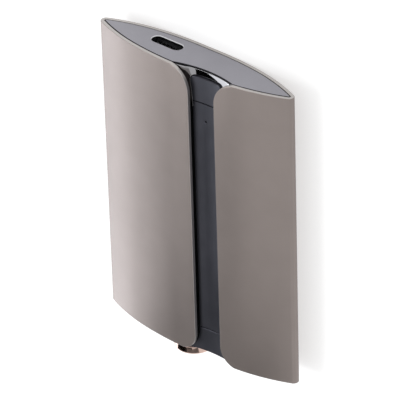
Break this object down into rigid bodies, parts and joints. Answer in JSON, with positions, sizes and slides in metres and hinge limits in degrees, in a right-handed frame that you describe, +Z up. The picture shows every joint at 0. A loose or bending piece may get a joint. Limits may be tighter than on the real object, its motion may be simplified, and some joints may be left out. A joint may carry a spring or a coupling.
{
  "type": "portable solid state drive",
  "caption": "Slim portable solid state drive with an eye-shaped section: a bent metal sleeve, a dark groove strip, a USB-C end cap and a lanyard stud.",
  "frame": {"origin": "centre of the bounding box, on the surface that the drive's bowed back rests on", "axes": "+X across the width, +Y along the length towards the USB end, +Z up through the groove side"},
  "size_m": [0.06, 0.0828, 0.0118],
  "materials": {
    "sleeve_metal": "fine bead-blasted, anodised taupe, satin",
    "cap_metal": "fine bead-blasted, anodised grey",
    "lip_gloss": "polished black",
    "strip_satin": "satin dark grey",
    "stud_metal": "polished rose gold",
    "steel": "plain drawn steel",
    "core_metal": "dark anodised extrusion",
    "board_laminate": "green solder mask",
    "chip_resin": "moulded black resin",
    "ferrite": "matte grey",
    "ceramic_body": "glazed tan",
    "lamp_resin": "clear cast",
    "pipe_clear": "clear polished",
    "contact_gold": "thin gold plate",
    "pad_silicone": "soft matte",
    "copper_foil": "rolled copper"
  },
  "bodies": {
    "root": {"sleeve": "sleeve_metal", "usb_end_cap": "cap_metal", "scoop_lip": "lip_gloss", "upper_trim": "strip_satin", "spine_panel": "strip_satin", "lower_trim": "strip_satin", "base_end_cap": "cap_metal", "lanyard_stud": "stud_metal", "stud_nut": "steel", "core_housing": "core_metal", "main_board": "board_laminate", "controller_chip": "chip_resin", "flash_chips": "chip_resin", "power_chip": "chip_resin", "clock_crystal": "steel", "power_inductors": "ferrite", "ceramic_capacitors": "ceramic_body", "status_led": "lamp_resin", "light_pipe": "pipe_clear", "usb_shell": "steel", "usb_insulator": "chip_resin", "usb_contacts": "contact_gold", "thermal_pads": "pad_silicone", "front_heat_spreader": "copper_foil", "back_heat_spreader": "copper_foil"}
  },
  "joints": []
}
